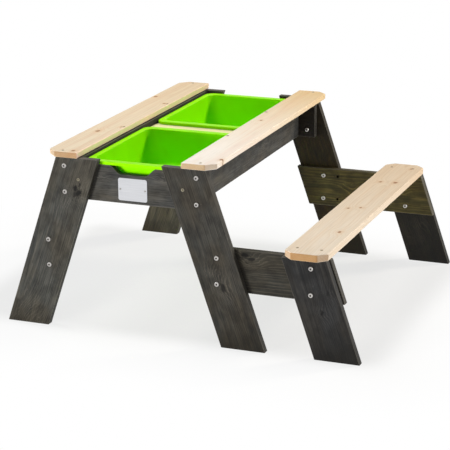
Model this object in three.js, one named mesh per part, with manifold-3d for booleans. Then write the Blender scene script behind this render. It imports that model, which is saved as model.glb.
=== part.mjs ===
import * as THREE from 'three';
import { mergeVertices } from 'three/addons/utils/BufferGeometryUtils.js';
import Module from 'manifold-3d';

// A child's picnic table with one bench and two lift-out tubs between its tabletop boards.
// Millimetres, +Z up. +X points from the table to the bench, and the near end is at -Y.
// Places are measured from the floor and from the middle of the tabletop. The finished group is
// then shifted along X, so that its origin is the middle of the whole object's base.

// Tabletop
const table_height = 500;
const tabletop_length = 940;
const tabletop_board_width = 92;
const tabletop_thickness = 16;
const tabletop_clip = 26;
const tabletop_end_overhang = 6;
const tabletop_ledge = 6;

// Seat
const seat_height = 292;
const seat_width = 118;
const seat_thickness = 20;
const seat_clip = 24;
const seat_end_overhang = 16;
const seat_edge_overhang = 2;

// Frame boards: legs, rails, crosspieces and aprons are all sawn from one size of board
const frame_board_width = 118;
const frame_board_thickness = 20;
const foot_spread = 762;
const leg_top_spread = 432;
const bench_leg_offset = 261;
const rail_overhang = 4;
const apron_spacing = 288;

// Tubs
const rim_drop = 8;
const rim_lip = 8.5;
const rim_side_width = 17;
const rim_corner_radius = 30;
const rim_clearance = 1.5;
const rim_edge_round = 2;
const tubs_apart = 64;
const tub_depth = 104;
const tub_wall = 2.5;
const tub_wall_clearance = 2.7;
const tub_draft = 9;
const tub_mouth_radius = 24;
const tub_floor_radius = 64;
const tub_floor_fillet = 12;

// Middle batten that the inner ends of both tubs rest on
const batten_thickness = 16;
const batten_clearance = 7.5;

// Finger notch in the top of each crosspiece
const notch_depth = 22;
const notch_floor_width = 88;
const notch_mouth_width = 118;
const notch_corner = 9;

// Connector bolts with a sleeve nut of the same shape as the head
const bolt_head_diameter = 13;
const bolt_head_height = 3.6;
const bolt_head_rim = 1.2;
const bolt_crown_diameter = 8;
const bolt_shank_diameter = 6;
const bolt_socket_width = 5;
const bolt_socket_depth = 2.4;
const bolt_edge_distance = 23;
const bolt_end_distance = 25;
const pilot_hole_diameter = 8;
const pilot_hole_offset = 45;

// Screws
const board_screw = { head: 8, head_depth: 2.6, shank: 4, length: 34, tip: 4 };
const frame_screw = { head: 9, head_depth: 3, shank: 5, length: 70, tip: 6 };
const plate_screw = { head: 5, head_depth: 1.1, shank: 2.4, length: 12, tip: 2 };
const top_screw_row = 154;
const top_screw_inset = 17;
const seat_screw_spacing = 66;
const frame_screw_inset = 7.5;

// Plate on the near crosspiece
const plate_width = 84;
const plate_height = 62;
const plate_thickness = 1.5;
const plate_corner_radius = 6;
const plate_screw_inset = 6;

// Edges and fits
const planed_edge_round = 3;
const sawn_edge_round = 1.6;
const fit_gap = 0.3;
const bore_clearance = 0.6;
const cutter_overrun = 5;

// Facets
const planed_edge_steps = 2;
const sawn_edge_steps = 1;
const curve_steps = 3;
const tub_corner_steps = 5;
const bolt_sides = 12;
const screw_sides = 8;
const socket_sides = 6;

// Heights that follow from the sizes above
const leg_height = table_height - tabletop_thickness - fit_gap;
const seat_underside = seat_height - seat_thickness;
const rail_top = seat_underside - fit_gap;
const rail_bottom = rail_top - frame_board_width;
const rail_middle = (rail_top + rail_bottom) / 2;
const crosspiece_bottom = leg_height - frame_board_width;
const rim_top = table_height - tabletop_thickness - rim_drop;
const rim_bottom = rim_top - rim_lip;
const rim_seat = rim_bottom - fit_gap;
const notch_floor = rim_seat - notch_depth;
const apron_middle = leg_height - frame_board_width / 2;

// Splay of the legs: how far their edges move out for each unit of height
const leg_slope = (foot_spread - leg_top_spread) / 2 / leg_height;
const leg_run = frame_board_width * Math.hypot(1, leg_slope);

// Places across the table, along X
const apron_inner_face = apron_spacing / 2;
const apron_middle_x = apron_inner_face + frame_board_thickness / 2;
const tabletop_inner_edge = apron_inner_face + tabletop_ledge;
const tabletop_outer_edge = tabletop_inner_edge + tabletop_board_width;
const crosspiece_end = leg_top_spread / 2;
const top_screw_outer_x = crosspiece_end - top_screw_inset;
const top_screw_inner_x = (tabletop_inner_edge + apron_inner_face + frame_board_thickness) / 2;
const seat_outer_edge = leg_edge(rail_top) + bench_leg_offset + seat_edge_overhang;
const seat_middle_x = seat_outer_edge - seat_width / 2;
const rail_bolt_x = leg_edge(rail_middle) - leg_run / 2;
const crosspiece_bolt_x = crosspiece_end - bolt_end_distance;

// Places along the table, as distances from its middle
const leg_outer_face = tabletop_length / 2 - tabletop_end_overhang;
const leg_inner_face = leg_outer_face - frame_board_thickness;
const rail_outer_face = leg_inner_face - fit_gap;
const rail_inner_face = rail_outer_face - frame_board_thickness;
const rail_middle_y = (rail_outer_face + rail_inner_face) / 2;
const leg_middle_y = (leg_outer_face + leg_inner_face) / 2;
const seat_half_length = leg_outer_face + seat_end_overhang;

// The tub rims reach from the legs, over the crosspieces, to a wall that hangs clear of them
const rim_outer_end = leg_inner_face - rim_clearance;
const tub_wall_end = rail_inner_face - tub_wall_clearance - tub_wall;
const rim_end_width = rim_outer_end - tub_wall_end;
const batten_half_width = tubs_apart / 2 + rim_end_width - tub_wall - batten_clearance;

const ends = [
  { name: 'near', side: -1 },
  { name: 'far', side: 1 },
];
const sides = [
  { name: 'left', side: -1 },
  { name: 'right', side: 1 },
];

const stained_timber = new THREE.MeshStandardMaterial({ color: 0x474542, roughness: 0.75, metalness: 0 });
const pale_timber = new THREE.MeshStandardMaterial({ color: 0xe4d3bd, roughness: 0.65, metalness: 0 });
const green_plastic = new THREE.MeshStandardMaterial({ color: 0x62cc00, roughness: 0.35, metalness: 0 });
const plate_metal = new THREE.MeshStandardMaterial({ color: 0xd2d3d6, roughness: 0.4, metalness: 1 });
const zinc_plated = new THREE.MeshStandardMaterial({ color: 0xc9c8c4, roughness: 0.35, metalness: 1 });
const screw_steel = new THREE.MeshStandardMaterial({ color: 0xa59a82, roughness: 0.45, metalness: 1 });

const wasm = await Module();
wasm.setup();

const table = new THREE.Group();
const cutters = new Map();

// Turns a closed geometry into a solid that can be cut
function to_solid(geometry) {
  const bare = geometry.clone();
  bare.deleteAttribute('normal');
  bare.deleteAttribute('uv');
  const merged = mergeVertices(bare);
  return new wasm.Manifold(new wasm.Mesh({
    numProp: 3,
    vertProperties: new Float32Array(merged.attributes.position.array),
    triVerts: new Uint32Array(merged.index.array),
  }));
}

// Turns a cut solid back into a geometry
function to_geometry(solid) {
  const { vertProperties, triVerts } = solid.getMesh();
  const geometry = new THREE.BufferGeometry();
  geometry.setAttribute('position', new THREE.BufferAttribute(vertProperties, 3));
  geometry.setIndex(new THREE.BufferAttribute(triVerts, 1));
  return geometry;
}

// Adds a named piece to the table
function place(name, geometry, material, x, y, z) {
  const mesh = new THREE.Mesh(geometry, material);
  mesh.name = name;
  mesh.position.set(x, y, z);
  table.add(mesh);
  return mesh;
}

// Notes that a geometry in the table's frame is to be cut out of some pieces
function drill(pieces, tool) {
  for (const piece of pieces) {
    cutters.set(piece, [...(cutters.get(piece) ?? []), tool]);
  }
}

// Makes all the noted cuts in one piece
function make_cuts(piece, tools) {
  piece.updateMatrix();
  const into_piece = piece.matrix.clone().invert();
  let solid = to_solid(piece.geometry);
  for (const tool of tools) {
    solid = solid.subtract(to_solid(tool.clone().applyMatrix4(into_piece)));
  }
  piece.geometry = to_geometry(solid);
}

// A board of the given outline with rounded long edges, its underside at zero
function flat_board(shape, thickness, edge_round, edge_steps) {
  const geometry = new THREE.ExtrudeGeometry(shape, {
    depth: thickness - 2 * edge_round,
    bevelThickness: edge_round,
    bevelSize: edge_round,
    bevelOffset: -edge_round,
    bevelSegments: edge_steps,
    curveSegments: curve_steps,
  });
  return geometry.translate(0, 0, edge_round);
}

// The same board stood on edge: its outline lies in XZ and its thickness runs from zero along +Y
function upright_board(shape, thickness) {
  const geometry = flat_board(shape, thickness, sawn_edge_round, sawn_edge_steps);
  return geometry.rotateX(Math.PI / 2).translate(0, thickness, 0);
}

function shape_of(points) {
  return new THREE.Shape(points.map(([a, b]) => new THREE.Vector2(a, b)));
}

// The low Y of a board that lies between two distances from the middle, at one end of the table
function low_y(end, outer, inner) {
  return end.side < 0 ? -outer : inner;
}

// X of the outer edge of the right table leg at a height
function leg_edge(z) {
  return foot_spread / 2 - leg_slope * z;
}

// A board from one corner to the opposite one, with chosen corners cut off at 45 degrees
function clipped_outline(low_x, high_x, half_length, low_clip, high_clip) {
  const corners = [
    [low_x + low_clip, -half_length],
    [high_x - high_clip, -half_length],
    [high_x, -half_length + high_clip],
    [high_x, half_length - high_clip],
    [high_x - high_clip, half_length],
    [low_x + low_clip, half_length],
    [low_x, half_length - low_clip],
    [low_x, -half_length + low_clip],
  ];
  const distinct = corners.filter(([x, y], i) => {
    const [next_x, next_y] = corners[(i + 1) % corners.length];
    return x !== next_x || y !== next_y;
  });
  return shape_of(distinct);
}

// One of the two tabletop boards: only its outer corners are clipped
function tabletop_board(side) {
  const inner = tabletop_inner_edge;
  const outer = tabletop_outer_edge;
  const low = side.side < 0 ? -outer : inner;
  const high = side.side < 0 ? -inner : outer;
  const low_clip = side.side < 0 ? tabletop_clip : 0;
  const high_clip = side.side < 0 ? 0 : tabletop_clip;
  const shape = clipped_outline(low, high, tabletop_length / 2, low_clip, high_clip);
  const geometry = flat_board(shape, tabletop_thickness, planed_edge_round, planed_edge_steps);
  return place(`tabletop_${side.name}`, geometry, pale_timber, 0, 0, table_height - tabletop_thickness);
}

function seat_board() {
  const half = seat_width / 2;
  const shape = clipped_outline(-half, half, seat_half_length, seat_clip, seat_clip);
  const geometry = flat_board(shape, seat_thickness, planed_edge_round, planed_edge_steps);
  return place('bench_seat', geometry, pale_timber, seat_middle_x, 0, seat_underside);
}

// A leg cut level at its foot and its top, leaning in as it rises
function leg_outline(height, side) {
  const outline = [
    [leg_edge(0) - leg_run, 0],
    [leg_edge(0), 0],
    [leg_edge(height), height],
    [leg_edge(height) - leg_run, height],
  ];
  return shape_of(outline.map(([x, z]) => [side * x, z]));
}

function table_leg(end, side) {
  const geometry = upright_board(leg_outline(leg_height, side.side), frame_board_thickness);
  const y = low_y(end, leg_outer_face, leg_inner_face);
  return place(`leg_${end.name}_${side.name}`, geometry, stained_timber, 0, y, 0);
}

function bench_leg(end) {
  const geometry = upright_board(leg_outline(rail_top, 1), frame_board_thickness);
  const y = low_y(end, leg_outer_face, leg_inner_face);
  return place(`bench_leg_${end.name}`, geometry, stained_timber, bench_leg_offset, y, 0);
}

// The horizontal board that carries the bench leg, its ends cut to the slope of the legs
function bench_rail(end) {
  const left = (z) => leg_edge(z) - leg_run - rail_overhang;
  const right = (z) => leg_edge(z) + bench_leg_offset + rail_overhang;
  const shape = shape_of([
    [left(rail_bottom), rail_bottom],
    [right(rail_bottom), rail_bottom],
    [right(rail_top), rail_top],
    [left(rail_top), rail_top],
  ]);
  const geometry = upright_board(shape, frame_board_thickness);
  const y = low_y(end, rail_outer_face, rail_inner_face);
  return place(`bench_rail_${end.name}`, geometry, stained_timber, 0, y, 0);
}

// The end board: a wide shallow recess for the tub rims with a finger notch in the middle of it
function crosspiece(end) {
  const shape = new THREE.Shape();
  const notch_mouth = notch_mouth_width / 2;
  const notch_foot = notch_floor_width / 2;
  shape.moveTo(-crosspiece_end, crosspiece_bottom);
  shape.lineTo(crosspiece_end, crosspiece_bottom);
  shape.lineTo(crosspiece_end, leg_height);
  shape.lineTo(apron_inner_face, leg_height);
  shape.lineTo(apron_inner_face, rim_seat);
  shape.lineTo(notch_mouth + notch_corner, rim_seat);
  shape.quadraticCurveTo(notch_mouth, rim_seat, notch_mouth - notch_corner / 2, rim_seat - notch_corner);
  shape.lineTo(notch_foot + notch_corner / 2, notch_floor + notch_corner);
  shape.quadraticCurveTo(notch_foot, notch_floor, notch_foot - notch_corner, notch_floor);
  shape.lineTo(notch_corner - notch_foot, notch_floor);
  const left_corner = -notch_foot - notch_corner / 2;
  shape.quadraticCurveTo(-notch_foot, notch_floor, left_corner, notch_floor + notch_corner);
  shape.lineTo(notch_corner / 2 - notch_mouth, rim_seat - notch_corner);
  shape.quadraticCurveTo(-notch_mouth, rim_seat, -notch_mouth - notch_corner, rim_seat);
  shape.lineTo(-apron_inner_face, rim_seat);
  shape.lineTo(-apron_inner_face, leg_height);
  shape.lineTo(-crosspiece_end, leg_height);
  const geometry = upright_board(shape, frame_board_thickness);
  const y = low_y(end, rail_outer_face, rail_inner_face);
  return place(`crosspiece_${end.name}`, geometry, stained_timber, 0, y, 0);
}

// A long board between the crosspieces, standing under the inner edge of a tabletop board
function apron(side) {
  const half_length = rail_inner_face - fit_gap;
  const shape = shape_of([
    [-half_length, 0],
    [half_length, 0],
    [half_length, frame_board_width],
    [-half_length, frame_board_width],
  ]);
  const geometry = upright_board(shape, frame_board_thickness);
  geometry.rotateZ(Math.PI / 2).translate(frame_board_thickness / 2, 0, 0);
  const x = side.side * apron_middle_x;
  return place(`apron_${side.name}`, geometry, stained_timber, x, 0, crosspiece_bottom);
}

function tub_batten() {
  const half = apron_inner_face - fit_gap;
  const shape = clipped_outline(-half, half, batten_half_width, 0, 0);
  const geometry = flat_board(shape, batten_thickness, sawn_edge_round, sawn_edge_steps);
  return place('tub_batten', geometry, pale_timber, 0, 0, rim_seat - batten_thickness);
}

// One level ring of points round a tub: a rectangle with rounded corners
function tub_ring(half_x, half_y, radius, z) {
  const corner_signs = [[1, 1], [-1, 1], [-1, -1], [1, -1]];
  return corner_signs.flatMap(([sign_x, sign_y], quarter) => {
    const steps = Array.from({ length: tub_corner_steps + 1 }, (_, step) => step / tub_corner_steps);
    return steps.map((share) => {
      const angle = (quarter + share) * Math.PI / 2;
      const x = sign_x * (half_x - radius) + radius * Math.cos(angle);
      const y = sign_y * (half_y - radius) + radius * Math.sin(angle);
      return [x, y, z];
    });
  });
}

// Joins rings of equal length into one closed skin, with a fan over the first and the last ring
function skin_over(rings) {
  const count = rings[0].length;
  const positions = rings.flat(2);
  const indices = [];
  for (let ring = 0; ring + 1 < rings.length; ring += 1) {
    for (let i = 0; i < count; i += 1) {
      const next = (i + 1) % count;
      const [a, b] = [ring * count + i, ring * count + next];
      const [c, d] = [a + count, b + count];
      indices.push(a, b, d, a, d, c);
    }
  }
  const last = (rings.length - 1) * count;
  for (let i = 1; i + 1 < count; i += 1) {
    indices.push(0, i + 1, i);
    indices.push(last, last + i, last + i + 1);
  }
  const geometry = new THREE.BufferGeometry();
  geometry.setAttribute('position', new THREE.Float32BufferAttribute(positions, 3));
  geometry.setIndex(indices);
  return geometry;
}

// The same distance in from the rim's outer edge, for the sides, where the rim is narrower
function side_inset(end_inset) {
  const narrower = rim_end_width - rim_side_width;
  return end_inset < rim_end_width / 2 ? end_inset : end_inset - narrower;
}

// A moulded tub: flat rim with a turned-down lip, drafted walls, corners that widen towards the floor.
// Each row is a distance in from the rim's end, a corner radius and a height.
function tub(end) {
  const half_x = apron_inner_face - rim_clearance;
  const inner_end = tubs_apart / 2;
  const half_y = (rim_outer_end - inner_end) / 2;
  const floor_top = rim_top - tub_depth + tub_wall;
  const under = rim_top - tub_depth;
  const foot = rim_end_width + tub_draft;
  const bend_share = 1 - Math.SQRT1_2;
  const bend = tub_floor_fillet * bend_share;
  const inner_rows = [
    [rim_edge_round, rim_corner_radius - rim_edge_round, rim_top],
    [rim_end_width - rim_edge_round, tub_mouth_radius + rim_edge_round, rim_top],
    [rim_end_width, tub_mouth_radius, rim_top - rim_edge_round],
    [foot, tub_floor_radius, floor_top + tub_floor_fillet],
    [foot + bend, tub_floor_radius - bend, floor_top + bend],
    [foot + tub_floor_fillet, tub_floor_radius - tub_floor_fillet, floor_top],
  ];
  const outer_rows = [
    [foot + tub_floor_fillet, tub_floor_radius - tub_floor_fillet, under],
    [foot + bend - tub_wall, tub_floor_radius - bend, under + bend],
    [foot - tub_wall, tub_floor_radius + tub_wall, under + tub_floor_fillet],
    [rim_end_width - tub_wall, tub_mouth_radius + tub_wall, rim_top - tub_wall],
    [tub_wall, rim_corner_radius - tub_wall, rim_top - tub_wall],
    [tub_wall, rim_corner_radius - tub_wall, rim_bottom],
    [0, rim_corner_radius, rim_bottom],
    [0, rim_corner_radius, rim_top - rim_edge_round],
  ];
  const rows = [...outer_rows, ...inner_rows];
  const rings = rows.map(([inset, radius, z]) => {
    return tub_ring(half_x - side_inset(inset), half_y - inset, radius, z - rim_top);
  });
  const y = end.side * (inner_end + half_y);
  return place(`tub_${end.name}`, skin_over(rings), green_plastic, 0, y, rim_top);
}

// A closed turned shape about the Y axis, from a profile of radius and height that rises
function turned(profile, sides_round) {
  return new THREE.LatheGeometry(profile.map(([r, y]) => new THREE.Vector2(r, y)), sides_round);
}

// A connector bolt through a stack of boards. The outer face of the stack is at zero, head towards +Y.
function bolt_geometry(stack) {
  const head = bolt_head_diameter / 2;
  const crown = bolt_crown_diameter / 2;
  const shank = bolt_shank_diameter / 2;
  const head_seat = fit_gap;
  const nut_seat = -stack - fit_gap;
  const body = to_solid(turned([
    [0, nut_seat - bolt_head_height],
    [crown, nut_seat - bolt_head_height],
    [head, nut_seat - bolt_head_rim],
    [head, nut_seat],
    [shank, nut_seat],
    [shank, head_seat],
    [head, head_seat],
    [head, head_seat + bolt_head_rim],
    [crown, head_seat + bolt_head_height],
    [0, head_seat + bolt_head_height],
  ], bolt_sides));
  const socket_radius = bolt_socket_width / Math.sqrt(3);
  const socket_length = bolt_socket_depth * 2;
  const socket = new THREE.CylinderGeometry(socket_radius, socket_radius, socket_length, socket_sides);
  const outer_socket = to_solid(socket.clone().translate(0, head_seat + bolt_head_height, 0));
  const nut_socket = to_solid(socket.clone().translate(0, nut_seat - bolt_head_height, 0));
  return to_geometry(body.subtract(outer_socket).subtract(nut_socket));
}

// A straight hole along Y, centred on a place
function hole_along_y(diameter, x, y, z) {
  const length = frame_board_thickness * 2 + cutter_overrun * 2;
  const hole = new THREE.CylinderGeometry(diameter / 2, diameter / 2, length, bolt_sides);
  return hole.translate(x, y, z);
}

// Puts a bolt through the pieces at one end of the table
function bolt(name, geometry, pieces, end, x, z) {
  const mesh = place(name, geometry, zinc_plated, x, end.side * leg_outer_face, z);
  mesh.rotation.x = end.side < 0 ? Math.PI : 0;
  const bore = bolt_shank_diameter + bore_clearance * 2;
  drill(pieces, hole_along_y(bore, x, end.side * leg_inner_face, z));
}

// A countersunk screw with its head's top at zero, pointing along -Y; grown is its bore's clearance
function screw_geometry(screw, grown, above) {
  const shank = screw.shank / 2 + grown;
  const head = screw.head / 2 + grown;
  const profile = [
    [0, -screw.length - grown],
    [shank, screw.tip - screw.length],
    [shank, -screw.head_depth],
    [head, 0],
  ];
  const top = above > 0 ? [[head, above], [0, above]] : [[0, 0]];
  return turned([...profile, ...top], screw_sides);
}

// Drives a screw at a place, turned about X, into pieces that each get its bore
function drive(name, screw, material, pieces, x, y, z, turn) {
  const mesh = place(name, screw_geometry(screw, 0, 0), material, x, y, z);
  mesh.rotation.x = turn;
  mesh.updateMatrix();
  const bore = screw_geometry(screw, fit_gap, cutter_overrun);
  drill(pieces, bore.applyMatrix4(mesh.matrix));
}

function bolts_at_leg(end, side, leg, behind_upper, behind_lower, full_bolt, short_bolt) {
  const upper = [leg_height - bolt_edge_distance, crosspiece_bottom + bolt_edge_distance];
  const lower = [rail_top - bolt_edge_distance, rail_bottom + bolt_edge_distance];
  upper.forEach((z, i) => {
    const x = side.side * crosspiece_bolt_x;
    bolt(`bolt_${end.name}_${side.name}_upper_${i + 1}`, full_bolt, [leg, behind_upper], end, x, z);
  });
  lower.forEach((z, i) => {
    const x = side.side * rail_bolt_x;
    const pieces = behind_lower ? [leg, behind_lower] : [leg];
    const geometry = behind_lower ? full_bolt : short_bolt;
    bolt(`bolt_${end.name}_${side.name}_lower_${i + 1}`, geometry, pieces, end, x, z);
  });
}

function bolts_at_bench(end, leg, rail, full_bolt) {
  const rows = [rail_top - bolt_edge_distance, rail_bottom + bolt_edge_distance];
  rows.forEach((z, i) => {
    const x = rail_bolt_x + bench_leg_offset;
    bolt(`bolt_${end.name}_bench_${i + 1}`, full_bolt, [leg, rail], end, x, z);
    const hole_x = rail_bolt_x + pilot_hole_offset;
    drill([rail], hole_along_y(pilot_hole_diameter, hole_x, end.side * rail_middle_y, z));
  });
}

// The plate stands on the outer face of the near crosspiece, halfway between its foot and the notch
function end_plate(near, cross) {
  const half_x = plate_width / 2;
  const half_z = plate_height / 2;
  const straight_x = half_x - plate_corner_radius;
  const straight_z = half_z - plate_corner_radius;
  const shape = new THREE.Shape();
  shape.absarc(straight_x, straight_z, plate_corner_radius, 0, Math.PI / 2);
  shape.absarc(-straight_x, straight_z, plate_corner_radius, Math.PI / 2, Math.PI);
  shape.absarc(-straight_x, -straight_z, plate_corner_radius, Math.PI, Math.PI * 3 / 2);
  shape.absarc(straight_x, -straight_z, plate_corner_radius, Math.PI * 3 / 2, Math.PI * 2);
  const settings = { depth: plate_thickness, bevelEnabled: false, curveSegments: curve_steps };
  const geometry = new THREE.ExtrudeGeometry(shape, settings).rotateX(Math.PI / 2);
  const plate_back = near.side * (rail_outer_face + fit_gap);
  const z = (crosspiece_bottom + notch_floor) / 2;
  const plate = place('end_plate', geometry, plate_metal, 0, plate_back, z);
  const face = plate_back - plate_thickness;
  for (const side of sides) {
    const x = side.side * (half_x - plate_screw_inset);
    drive(`plate_screw_${side.name}`, plate_screw, zinc_plated, [plate, cross], x, face, z, Math.PI);
  }
}

const tops = sides.map(tabletop_board);
const seat = seat_board();
const aprons = sides.map(apron);
tub_batten();

const stack = frame_board_thickness * 2 + fit_gap;
const full_bolt = bolt_geometry(stack);
const short_bolt = bolt_geometry(frame_board_thickness);

for (const end of ends) {
  const legs = sides.map((side) => table_leg(end, side));
  const rear_leg = bench_leg(end);
  const rail = bench_rail(end);
  const cross = crosspiece(end);
  tub(end);
  sides.forEach((side, i) => {
    const behind_lower = side.side > 0 ? rail : null;
    bolts_at_leg(end, side, legs[i], cross, behind_lower, full_bolt, short_bolt);
    const x = side.side * (apron_inner_face + frame_screw_inset);
    const y = end.side * leg_outer_face;
    const turn = end.side < 0 ? Math.PI : 0;
    const joined = [legs[i], cross, aprons[i]];
    drive(`frame_screw_${end.name}_${side.name}`, frame_screw, screw_steel, joined, x, y, apron_middle, turn);
    const end_x = side.side * top_screw_outer_x;
    const end_y = end.side * leg_middle_y;
    const end_screw = `top_screw_${end.name}_${side.name}_end`;
    drive(end_screw, board_screw, screw_steel, [tops[i], legs[i]], end_x, end_y, table_height, Math.PI / 2);
    const row_x = side.side * top_screw_inner_x;
    const row_y = end.side * top_screw_row;
    const row_screw = `top_screw_${end.name}_${side.name}_row`;
    drive(row_screw, board_screw, screw_steel, [tops[i], aprons[i]], row_x, row_y, table_height, Math.PI / 2);
    const seat_x = seat_middle_x + side.side * seat_screw_spacing / 2;
    const seat_y = end.side * rail_middle_y;
    const seat_screw = `seat_screw_${end.name}_${side.name}`;
    drive(seat_screw, board_screw, screw_steel, [seat, rail], seat_x, seat_y, seat_height, Math.PI / 2);
  });
  bolts_at_bench(end, rear_leg, rail, full_bolt);
  if (end.side < 0) {
    end_plate(end, cross);
  }
}

cutters.forEach((tools, piece) => make_cuts(piece, tools));

// The origin is the middle of the base of the whole object
const low_x = -foot_spread / 2;
const high_x = leg_edge(0) + bench_leg_offset;
table.position.x = -(low_x + high_x) / 2;

export default table;
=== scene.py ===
from collections import namedtuple
from math import cos, hypot, pi, radians, sin

import bmesh
import bpy
from mathutils import Matrix, Vector, noise


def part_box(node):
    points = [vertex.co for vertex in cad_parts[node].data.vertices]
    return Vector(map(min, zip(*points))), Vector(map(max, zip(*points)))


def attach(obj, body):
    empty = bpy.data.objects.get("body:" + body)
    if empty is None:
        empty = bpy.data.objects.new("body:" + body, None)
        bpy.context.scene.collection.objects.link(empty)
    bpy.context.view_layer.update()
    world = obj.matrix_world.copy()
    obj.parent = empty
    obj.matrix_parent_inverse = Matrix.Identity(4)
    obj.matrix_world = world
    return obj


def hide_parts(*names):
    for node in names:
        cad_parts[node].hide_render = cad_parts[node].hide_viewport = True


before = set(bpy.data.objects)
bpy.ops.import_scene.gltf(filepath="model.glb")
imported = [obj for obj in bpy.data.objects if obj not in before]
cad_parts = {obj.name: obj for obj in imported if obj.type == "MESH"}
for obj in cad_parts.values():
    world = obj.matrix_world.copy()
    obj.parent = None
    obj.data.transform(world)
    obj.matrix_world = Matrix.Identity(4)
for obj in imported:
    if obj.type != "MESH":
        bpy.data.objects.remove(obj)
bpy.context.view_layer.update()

# A child's picnic table with one bench and two lift-out tubs.
# Metres, +Z up. The near end, with the plate, is at -Y, and the bench is at +X.

MM = 0.001
QUARTER = pi / 2
X, Y, Z = Vector((1, 0, 0)), Vector((0, 1, 0)), Vector((0, 0, 1))
SIDES = {"left": -1, "right": 1}

# How finely the boards are made
BOARD_STEP = 12 * MM
NOTCH_STEP = 2.5 * MM
FACE_STEPS = 6
ARRIS_STEPS = 4

# Edges: planed boards are sanded round, frame boards are only eased with a plane
PLANED_ARRIS = 2.4 * MM
SAWN_ARRIS = 2.0 * MM
LEAST_ARRIS = 0.3 * MM
ARRIS_WEAR = 0.35
ARRIS_WEAR_LENGTH = 70 * MM
# Each corner of each board wears in its own way
WEAR_CORNER_STEP, WEAR_SEED_STEP = 9.1, 3.7

TABLETOP_CLIP = 26 * MM
SEAT_CLIP = 24 * MM

# Finger notch in the crosspieces
NOTCH_DEPTH = 22 * MM
NOTCH_FLOOR_WIDTH = 88 * MM
NOTCH_MOUTH_WIDTH = 118 * MM
NOTCH_CORNER = 9 * MM
SAW_KERF = 0.5 * MM

# Growth rings: the pith wanders along the trunk, and wide and narrow years follow each other
TRUNK_LENGTH, TRUNK_WIDTH = 380 * MM, 75 * MM
PITH_WANDER = 15 * MM
YEARS_PACE, YEARS_SWING = 0.23, 2.2
PALE_RINGS, STAINED_RINGS, RAIL_RINGS = 4.5 * MM, 4.2 * MM, 8 * MM
# Each board's seed moves its noise by these steps
TRUNK_SEED_STEP = (7.31, 3.17, 5.93)
FIBRE_SEED_STEP = (2.7, 4.1, 1.9)

# A knot is longer along the grain. It pushes the rings aside by a multiple of its size, which falls away
# some three sizes off
KNOT_STRETCH = 1.5
KNOT_PUSH = 1.7
KNOT_FALL = -0.11
KNOT_RIM, KNOT_HEART = 1.25, 0.45
KNOT_EDGE_GRAIN = 9 * MM
PALE_KNOT_EDGE, STAINED_KNOT_EDGE = 9 * MM, 15 * MM

# Tubs
TUB_WALL = 2.5 * MM
TUB_RIM_END_WIDTH = 24 * MM
TUB_RIM_SIDE_WIDTH = 17 * MM
TUB_RIM_LIP = 8.5 * MM
TUB_RIM_RADIUS = 30 * MM
TUB_RIM_ROUND = 2.2 * MM
TUB_MOUTH_RADIUS = 24 * MM
TUB_MOUTH_ROUND = 3.0 * MM
TUB_FLOOR_RADIUS = 64 * MM
TUB_FLOOR_FILLET = 12 * MM
TUB_DRAFT = 9 * MM
TUB_CORNER_STEPS = 13
TUB_SIDE_STEPS = 8
TUB_WALL_ROWS = 8
TUB_ROUND_STEPS = 4

# Bolts. The socket flares at its mouth, and the head draws in at its underside, both by a share
BOLT_HEAD_HEIGHT = 3.6 * MM
BOLT_RIM_HEIGHT = 1.1 * MM
BOLT_CROWN_RADIUS = 3.8 * MM
BOLT_SHANK_RADIUS = 3 * MM
BOLT_SOCKET_FLATS = 5 * MM
BOLT_SOCKET_DEPTH = 2.4 * MM
BOLT_SOCKET_FLARE = 1.1
BOLT_UNDERSIDE = 0.97
DOME_STEPS = 5
PILOT_HOLE_RADIUS = 4 * MM
PILOT_HOLE_OFFSET = 45 * MM

# Screws. The shares are of the head's radius, and those of the point are of the shank's
SCREW_SINK = 0.7 * MM
SCREW_SHANK = 0.48
SCREW_POINT, SCREW_POINT_LENGTH = 0.2, 2.5
SCREW_CONE = 0.75
SCREW_EDGE, SCREW_EDGE_DROP = 0.96, 0.08
SCREW_FACE = 0.94
RECESS_DEPTH = 1.6 * MM
RECESS_MOUTH_REACH, RECESS_MOUTH_WIDTH = 0.62, 0.34
RECESS_WAIST_REACH, RECESS_WAIST_WIDTH, RECESS_WAIST_DEPTH = 0.34, 0.2, 0.6
RECESS_TIP = 0.05
COUNTERSINK_MARGIN = 0.7 * MM
COUNTERSINK_FOOT = 0.45
PLATE_HOLE_MARGIN = 0.3 * MM
TURNED_SIDES = 48
# Radians from one fastener's angle to the next, so that no two stand alike
FASTENER_TURN = 1.7

# Plate
PLATE_CORNER_RADIUS = 6 * MM
PLATE_EDGE_ROUND = 0.4 * MM
PLATE_EDGE_MIDWAY = 0.3
PLATE_CORNER_STEPS = 8

# Edges sharper than these angles in degrees stay crisp
BOARD_CREASE, TURNED_CREASE, TUB_CREASE = 40, 35, 55

# The floor has a painted shadow: it is darker where the table stands, and fades to white round it. Its own
# light leaves the cast shadow faint, and further off it hides the shadow
FLOOR_SIZE = 60
FOOTPRINT_MIDDLE = (-0.07, 0.0, 0.0)
FOOTPRINT = (0.557, 0.40, 1.0)
PAINTED_SHADOW_FLOOR, PAINTED_SHADOW_FADE = 0.855, 0.12
FLOOR_LIGHT, SHADOW_FADE = 0.86, 0.45
STUDIO_AMBIENT = 0.06

# Mix sockets share their names, so these two go by number
MIX_A, MIX_B = 6, 7

# Where a board lies. For its grain, across is depth turned a quarter about the grain, so that a board
# on edge is measured down from its upper edge
Lie = namedtuple("Lie", "origin along across depth")
# Millimetres from the grain's origin, and how dark a knot's core is
Knot = namedtuple("Knot", "along across size core", defaults=(1.0,))
Pith = namedtuple("Pith", "across depth")


# Shader helpers


def linear(hex_colour):
    """An sRGB hex colour as the linear values a shader takes."""
    channels = [int(hex_colour[i:i + 2], 16) / 255 for i in (1, 3, 5)]
    return [c / 12.92 if c <= 0.04045 else ((c + 0.055) / 1.055) ** 2.4 for c in channels] + [1.0]


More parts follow.
